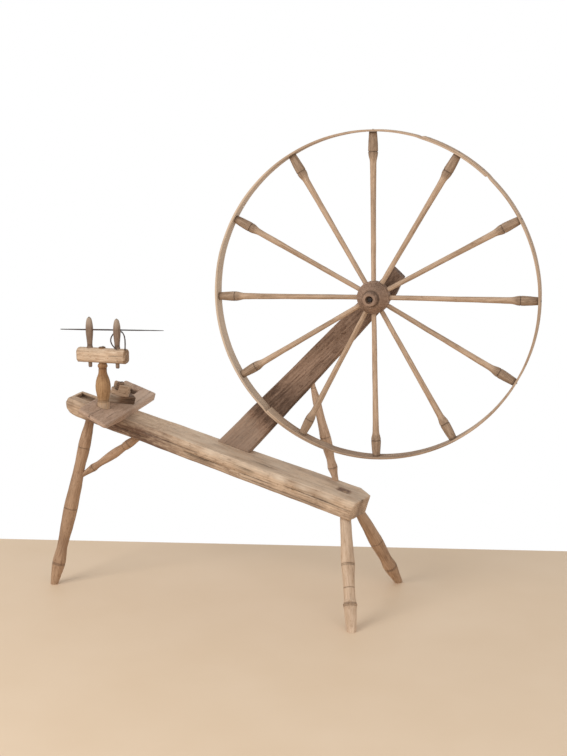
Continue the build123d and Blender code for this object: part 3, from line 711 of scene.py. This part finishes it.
# The rim: two thin ash boards, steamed and bent to half hoops. Each has one end lapped outside the
# other board and one end inside it, and the laps are nailed.
rim_ash = old_wood("bent_rim_ash", "ccb39a", "a0846c", "856b56", streak=0.75, patch=0.4, ring_mm=6)
lap_half, lap_taper, lap_play, hoop_steps = 13.0, 1.6, 0.2, 250
rim_middle = rim_radius - rim_thickness / 2
for name, node, start_lap in (
    ("left_hoop", "rim_half_left", 60.0 + spoke_turn), ("right_hoop", "rim_half_right", 240.0 + spoke_turn),
):
    first, last = start_lap - lap_half + lap_play, start_lap + 180 + lap_half - lap_play
    bm = bmesh.new()
    bmesh.ops.create_grid(bm, x_segments=2, y_segments=10, size=0.5)
    bmesh.ops.delete(bm, geom=[e for e in bm.edges if not e.is_boundary], context="EDGES_FACES")
    for v in bm.verts:
        v.co = Vector((rim_inner + (v.co.x + 0.5) * rim_thickness, v.co.y * rim_width, 0)) * mm
    bmesh.ops.delete(bm, geom=bm.faces[:], context="FACES_ONLY")
    bmesh.ops.spin(
        bm, geom=bm.verts[:] + bm.edges[:], cent=(0, 0, 0), axis=(0, -1, 0), angle=radians(last - first),
        steps=hoop_steps,
    )
    bmesh.ops.holes_fill(bm, edges=[e for e in bm.edges if e.is_boundary], sides=0)
    bmesh.ops.recalc_face_normals(bm, faces=bm.faces)
    layer = bm.verts.layers.float_vector.new("grain")
    for v in bm.verts:
        radius = sqrt(v.co.x ** 2 + v.co.z ** 2) / mm
        turn_angle = Vector((1, 0)).angle_signed(Vector((v.co.x, v.co.z)), 0)
        swept = (-turn_angle if turn_angle <= 1e-4 else tau - turn_angle) / tau * 360
        angle = first + swept
        share = (radius - rim_inner) / rim_thickness
        low, high = rim_inner, rim_radius
        into = min(1, max(0, (start_lap + lap_half + lap_taper - angle) / lap_taper))
        out_of = min(1, max(0, (angle - (start_lap + 180 - lap_half - lap_taper)) / lap_taper))
        low += (-lap_step) * into + (rim_middle + 0.05 - rim_inner) * out_of
        high += (rim_middle - 0.05 - rim_radius) * into + lap_step * out_of
        radius = low + (high - low) * share
        waver = noise.noise(Vector((angle / 9, 0, start_lap)))
        radius += 0.5 * noise.noise(Vector((angle / 7, 4, start_lap))) * (1 - into) * (1 - out_of)
        side = v.co.y / mm + 0.8 * waver
        v.co = outward(angle) * radius * mm + Vector((0, side * mm, 0))
        v[layer] = Vector((radians(angle) * rim_radius, side, radius)) * mm + Vector((start_lap, 0, 0))
    bm.normal_update()
    rim_corners = [e for e in bm.edges if len(e.link_faces) == 2 and e.calc_face_angle_signed(0) > 1]
    bmesh.ops.bevel(
        bm, geom=rim_corners, offset=1.2 * mm, affect="EDGES", segments=2, profile=0.5, material=-1
    )
    mark_wear(bm, 1)
    stain_and_shade(bm, lambda x, y, z: 0.8 * fade(-z, 400, 540) - 0.6 * fade(-x, 250, 500))
    stand_for(bm, name, Matrix.Translation(hub_centre), rim_ash, "wheel", "rim_ash", node)

# The rim's nails: hand-cut nails with hammered rose heads, one through the rim into each spoke and
# four through each lap.


def hammered_nails(name, node, body, spots, head_radius, head_height, shank_radius):
    """Nails at (place of the head's underside, direction out of the wood, length)."""
    bm = bmesh.new()
    for number, (spot, out, length) in enumerate(spots):
        head = bmesh.ops.create_cone(
            bm, cap_ends=True, segments=9, radius1=head_radius * mm, radius2=head_radius * 0.45 * mm,
            depth=head_height * mm,
        )["verts"]
        shank = bmesh.ops.create_cone(
            bm, cap_ends=True, segments=6, radius1=shank_radius * 0.5 * mm, radius2=shank_radius * mm,
            depth=length * mm,
        )["verts"]
        bmesh.ops.translate(bm, vec=(0, 0, head_height * mm / 2), verts=head)
        bmesh.ops.translate(bm, vec=(0, 0, -length * mm / 2 + 0.0002), verts=shank)
        for v in head:
            v.co *= 1 + 0.16 * noise.noise(v.co * 700 + Vector((number * 3.3, 0, 0)))
        turn_out = Matrix.Translation(spot) @ out.to_track_quat("Z", "Y").to_matrix().to_4x4()
        bmesh.ops.transform(bm, matrix=turn_out, verts=head + shank)
    stand_for(bm, name, Matrix(), black_iron, body, "iron", node)


spoke_nails = []
for index, angle in enumerate(spoke_angles):
    reach = rim_radius + (lap_step if index in lapped_spokes else 0)
    spoke_nails.append((at(0, 0, 0) + outward(angle) * reach * mm, outward(angle), 30))
hammered_nails("rim_nail_heads", "rim_nails", "wheel", spoke_nails, 4.0, 1.6, 1.3)
lap_spots = []
for centre in (60 + spoke_turn, 240 + spoke_turn):
    for side in (-1, 1):
        for across in (-16, 16):
            out = outward(centre + side * 10.5)
            lap_spots.append((at(0, across, 0) + out * (rim_radius + lap_step) * mm, out, 9.5))
hammered_nails("lap_nail_heads", "lap_nails", "wheel", lap_spots, 3.0, 1.2, 1.3)

# The tension slab: a plank laid across the bench, with a window for the clamp, a round seat for
# the spindle post and an old mortise, with shade painted on the walls of both holes. It slides
# along the bench to tighten the band.
slab_elm = old_wood(
    "worn_slab_elm", "bc9f89", "8a6d59", "cbb09a", streak=0.4, patch=0.6, mottling=0.45, ring_mm=8
)
slab_frame = bench_frame @ Matrix.Translation((0.158, 0, 0)) @ Matrix.Rotation(radians(92), 4, "Z")
bm = copy_of("tension_slab", slab_frame)
ease_arrises(bm, 4 * mm, lambda e: abs(e.verts[0].co.z - e.verts[1].co.z) > 0.006)
cut_up(bm, (9, 8, 8))
for start, end, width, depth in (
    ((-255, 10, 26), (-120, 6, 26), 1.4, 4), ((60, -52, 26), (262, -46, 26), 1.2, 3),
    ((-200, -40, 26), (-90, -44, 26), 1.2, 3),
):
    open_split(bm, (0, 0, 1), start, end, width, depth)
follow_grain(bm, 30)
hew(bm, 0.9, 80, 30, 30.0, lambda co: co.z < 0.002)
below_top = 24
dirt_and_shade = bm.verts.layers.float["split"]
# Painted shade on the walls of the old mortise, lighter on its lit part, and on the walls of the window
for v in bm.verts:
    x, y, z = v.co / mm
    in_mortise = 147 < x < 219 and -8 < y < 34
    in_window = -10 < x < 66 and -24 < y < 40
    if z < below_top and in_mortise:
        v[dirt_and_shade] = 0.3 if y < 0 and x < 180 else 0.75
    elif z < below_top and in_window:
        v[dirt_and_shade] = 0.5
mark_wear(bm)
stain_and_shade(bm, lambda x, y, z: 0.75 * fade(-y, 5, 45) * fade(x, -40, 60))
stand_for(bm, "sliding_slab", slab_frame, slab_elm, "tension", "slab_wood", "tension_slab")

# The clamp: a wooden screw whose square head slides in the bench's channel, a bar over the slab's
# window, and a hand nut, broken open on its near side so that the threads show.
clamp_maple = old_wood("clamp_maple", "9a7b61", "6a4f3b", "4b382c", streak=0.6, patch=0.5, ring_mm=4)
nut_maple = old_wood("nut_maple", "cdb196", "8d7058", "6e553f", streak=0.5, patch=0.4, ring_mm=4)
clamp_s, clamp_y = 152.0, 12.0
screw_base, screw_top, thread_pitch = -14.0, 97.05, 7.0
screw_place = Matrix.Translation((clamp_s * mm, clamp_y * mm, 0))
screw_frame = bench_frame @ screw_place @ Matrix.Rotation(-pi / 2, 4, "Y")
bm = turn([[(screw_base, 11.2), (screw_top - 3, 11.2)], [(screw_top - 3, 11.2), (screw_top, 9.6)]], sides=36)
turns, steps_per_turn = 6, 36
thread_verts = [
    bm.verts.new((h * mm, r * mm, 0)) for h, r in ((52.5, 10.8), (55.5, 13), (58.5, 10.8))
]
thread_edges = [bm.edges.new(pair) for pair in zip(thread_verts, thread_verts[1:])]
bmesh.ops.spin(
    bm, geom=thread_verts + thread_edges, cent=(0, 0, 0), axis=(1, 0, 0),
    dvec=(thread_pitch * mm / steps_per_turn, 0, 0), angle=tau * turns, steps=steps_per_turn * turns,
)
bmesh.ops.holes_fill(bm, edges=[e for e in bm.edges if e.is_boundary], sides=0)
screw_head = bmesh.ops.create_cube(bm, size=1)["verts"]
bmesh.ops.scale(bm, vec=(8 * mm, 72 * mm, 60 * mm), verts=screw_head)
bmesh.ops.translate(bm, vec=((screw_base + 4) * mm, (8 - clamp_y) * mm, 0), verts=screw_head)
bmesh.ops.recalc_face_normals(bm, faces=bm.faces)
follow_grain(bm, 31)
mark_wear(bm, 1)
stand_for(bm, "threaded_screw", screw_frame, clamp_maple, "clamp", "clamp_wood", "clamp_screw")

bar_middle, nut_base = 39.0, 53.0
bar_place = Matrix.Translation((clamp_s * mm, clamp_y * mm, bar_middle * mm))
bar_frame = bench_frame @ bar_place @ Matrix.Rotation(radians(47), 4, "Z")
bm = copy_of("clamp_bar", bar_frame)
ease_arrises(bm, 1.2 * mm, lambda e: e.calc_length() > 0.02)
cut_up(bm, (5, 5, 5))
open_split(bm, (0, -1, 0), (22, -25, 6), (64, -25, 2), 1.6, 5)
open_split(bm, (0, 0, 1), (-60, 12, 13), (-14, 14, 13), 1.2, 3)
follow_grain(bm, 32)
hew(bm, 1.3, 40, 14, 32.0, lambda co: (co.xy.length < 0.016) or co.z < -0.0125)
mark_wear(bm)
stain_and_shade(bm, lambda x, y, z: 0.5 * fade(x, 0, 40) - 0.5 * (1 - fade(x, -25, 10)))
stand_for(bm, "clamp_cross_bar", bar_frame, clamp_maple, "clamp", "clamp_wood", "clamp_bar")

nut_place = Matrix.Translation((clamp_s * mm, clamp_y * mm, nut_base * mm))
nut_frame = bench_frame @ nut_place @ Matrix.Rotation(radians(12), 4, "Z")
bm = copy_of("clamp_nut", nut_frame)
cut_up(bm, (4, 4, 4))
follow_grain(bm, 33)
hew(bm, 2.4, 26, 11, 33.0, lambda co: co.xy.length < 0.015 or co.z < 0.0006)
mark_wear(bm)
stand_for(bm, "broken_hand_nut", nut_frame, nut_maple, "clamp_nut", "clamp_wood", "clamp_nut")

# The spindle post: a turned baluster of warm, once-waxed maple, plumb on the sloping slab. It
# stands in a round seat, and its top tenon is wedged in the head block.
warm_maple = old_wood("waxed_warm_maple", "b8926b", "886642", "7c5334", streak=0.5, patch=0.4, ring_mm=5)
head_x, head_y = -959.5, -100.0
post_runs = [
    [(-447, 10.9), (-423, 10.9)],
    [(-423, 22), (-410, 22.3), (-397, 21.4)],
    [(-395, 19.6), (-387, 20.4), (-373, 23.2), (-347, 27.0), (-325, 25.2), (-308, 20.6), (-297, 16.4),
     (-288, 15.0), (-279, 14.8)],
    [(-275, 15.2), (-270, 17.4), (-264, 17.0), (-260, 14.6)], [(-260, 13), (-256, 12.8)],
    [(-256, 12.3), (-200, 12.3)],
]
turned_piece(
    "baluster", at(head_x, head_y, 0), at(head_x, head_y, 1), post_runs, ((-396, 0.8), (-277, 0.8)),
    warm_maple, "head", "warm_maple", ["spindle_post"], 40, depth=0.5, sides=40, step=3.5,
    rule=lambda x, y, z: 0.5 * fade(x, -330, -285) - 0.35 * (1 - fade(x, -408, -385)),
)

# The head block: a rounded cross bar of pale sycamore, worn smooth, its end grain dark with dirt.
pale_sycamore = old_wood("worn_sycamore", "e0c8ad", "b8987c", "86694f", streak=0.4, mottling=0.55)
block_frame = Matrix.Translation(at(head_x, head_y, -230))
bm = copy_of("head_block", block_frame)
cut_up(bm, (5, 5, 5))
open_split(bm, (0, -1, 0), (30, -23, 2), (93, -23, 5), 1.4, 4)
open_split(bm, (0, 0, 1), (-90, 6, 26), (-45, 8, 26), 1.2, 3)
follow_grain(bm, 41)
hew(bm, 1.0, 50, 18, 41.0)
mark_wear(bm)
stain_and_shade(bm, lambda x, y, z: (
    0.3 * fade(x, 0, 80) + 0.8 * fade(x, 86, 93) + 0.7 * (1 - fade(x, -92, -84)) + 0.6 * fade(-z, 16, 25)
))
stand_for(bm, "cross_block", block_frame, pale_sycamore, "head", "pale_block", "head_block")

# The maidens: two small turned uprights of dark fruitwood, with scored feet and bullet tops. The
# spindle runs through them, and their tenons show below the block.
maiden_middle, maiden_reach, block_top = head_x + 5.5, 52.5, -204.0
dark_pearwood = old_wood("dark_pearwood", "998270", "695344", "4f3e30", streak=0.5, patch=0.5, ring_mm=4)
for name, node, x, height in (
    ("left_upright", "maiden_left", maiden_middle - maiden_reach, 111),
    ("right_upright", "maiden_right", maiden_middle + maiden_reach, 108),
):
    base, tip = block_top, block_top + height
    runs = [
        [(base - 70, 5.5), (base - 66, 6.9), (base, 6.9)],
        [(base, 11.2), (base + 6, 10.6), (base + 16, 9.8), (base + 34, 11.4), (base + 56, 13.2),
         (base + 78, 12.8), (tip - 15, 10.4), (tip - 5, 7), (tip, 1.5)],
    ]
    turned_piece(
        name, at(x, head_y, 0), at(x, head_y, 1), runs, ((base + 8, 0.9), (base + 12, 0.7)), dark_pearwood,
        "head", "dark_maidens", [node], 42 + height, depth=0.35, sides=28, step=3.5,
        rule=lambda x, y, z: -0.45 * fade(x, base + 0.6 * height, base + 0.9 * height),
    )

# The thong: a strip of dark leather looped round the right upright, stiff with age, and held by a
# nail in the end of the block.
stiff_leather, tree, output = new_material("stiff_dark_leather")
place = add_node(tree, "ShaderNodeTexCoord")
creases = add_node(tree, "ShaderNodeTexNoise", {
    "Vector": place.outputs["Object"], "Scale": 900.0, "Detail": 3.0, "Roughness": 0.6,
})
tone = add_node(tree, "ShaderNodeMix", {
    0: creases.outputs["Fac"], 6: linear("2b2019"), 7: linear("4a392d"),
}, data_type="RGBA")
bump = add_node(tree, "ShaderNodeBump", {"Height": creases.outputs["Fac"], "Distance": 0.0003})
shader = add_node(tree, "ShaderNodeBsdfPrincipled", {
    "Base Color": tone.outputs[2], "Roughness": 0.62, "Normal": bump.outputs[0],
})
tree.links.new(shader.outputs[0], output.inputs["Surface"])
right_x = maiden_middle + maiden_reach
thong_route = [
    (6, -22, 3), (-6, -20, 10), (-19, -16, 24), (-22, -4, 42), (-14, 14, 58), (2, 21, 62), (18, 14, 56),
    (29, 2, 42), (33, -6, 24), (34, -9, 10), (34, -10, 1.3),
]
thong_curve = bpy.data.curves.new("thong_route", "CURVE")
thong_curve.dimensions = "3D"
thong_curve.bevel_depth = 2.4 * mm
thong_curve.bevel_resolution = 3
thong_curve.use_fill_caps = True
spline = thong_curve.splines.new("NURBS")
spline.points.add(len(thong_route) - 1)
for point, (x, y, z) in zip(spline.points, thong_route):
    point.co = (*at(right_x + x, head_y + y, block_top + z), 1)
spline.order_u = 4
spline.use_endpoint_u = True
spline.resolution_u = 6
thong_holder = bpy.data.objects.new("thong_route", thong_curve)
scene.collection.objects.link(thong_holder)
bm = bmesh.new()
bm.from_mesh(bpy.data.meshes.new_from_object(thong_holder))
bpy.data.objects.remove(thong_holder)
bmesh.ops.remove_doubles(bm, verts=bm.verts, dist=1e-6)
bmesh.ops.recalc_face_normals(bm, faces=bm.faces)
hew(bm, 0.5, 12, 12, 50.0)
stand_for(bm, "leather_loop", Matrix(), stiff_leather, "head", "thong_leather", "leather_thong")
thong_nail_spot = at(right_x + 34, head_y - 10, block_top)
hammered_nails(
    "thong_nail_head", "thong_nail", "head", [(thong_nail_spot, Vector((0, 0, 1)), 13)], 3.4, 1.6, 1.5
)

# The spindle: a forged iron rod, thickest between the uprights and drawn out to a point on the
# right, where the yarn runs off. It turns in the two uprights.
tilt = radians(1.7)
spindle_middle = at(maiden_middle, head_y, -138)
spindle_way = Vector((cos(tilt), 0, sin(tilt)))
spindle_runs = [
    [(-164, 1.5), (-120, 2.1), (-70, 2.5)], [(-70, 2.6), (0, 2.75), (70, 2.6)],
    [(70, 2.5), (150, 2.0), (225, 1.2), (230, 0.5)],
]
bm = turn(spindle_runs, sides=14, step=5)
hew(bm, 0.25, 25, 6, 60.0)
spindle_frame = lathe_frame(spindle_middle, spindle_middle + spindle_way)
stand_for(bm, "forged_spindle", spindle_frame, black_iron, "spindle", "iron", "spindle")
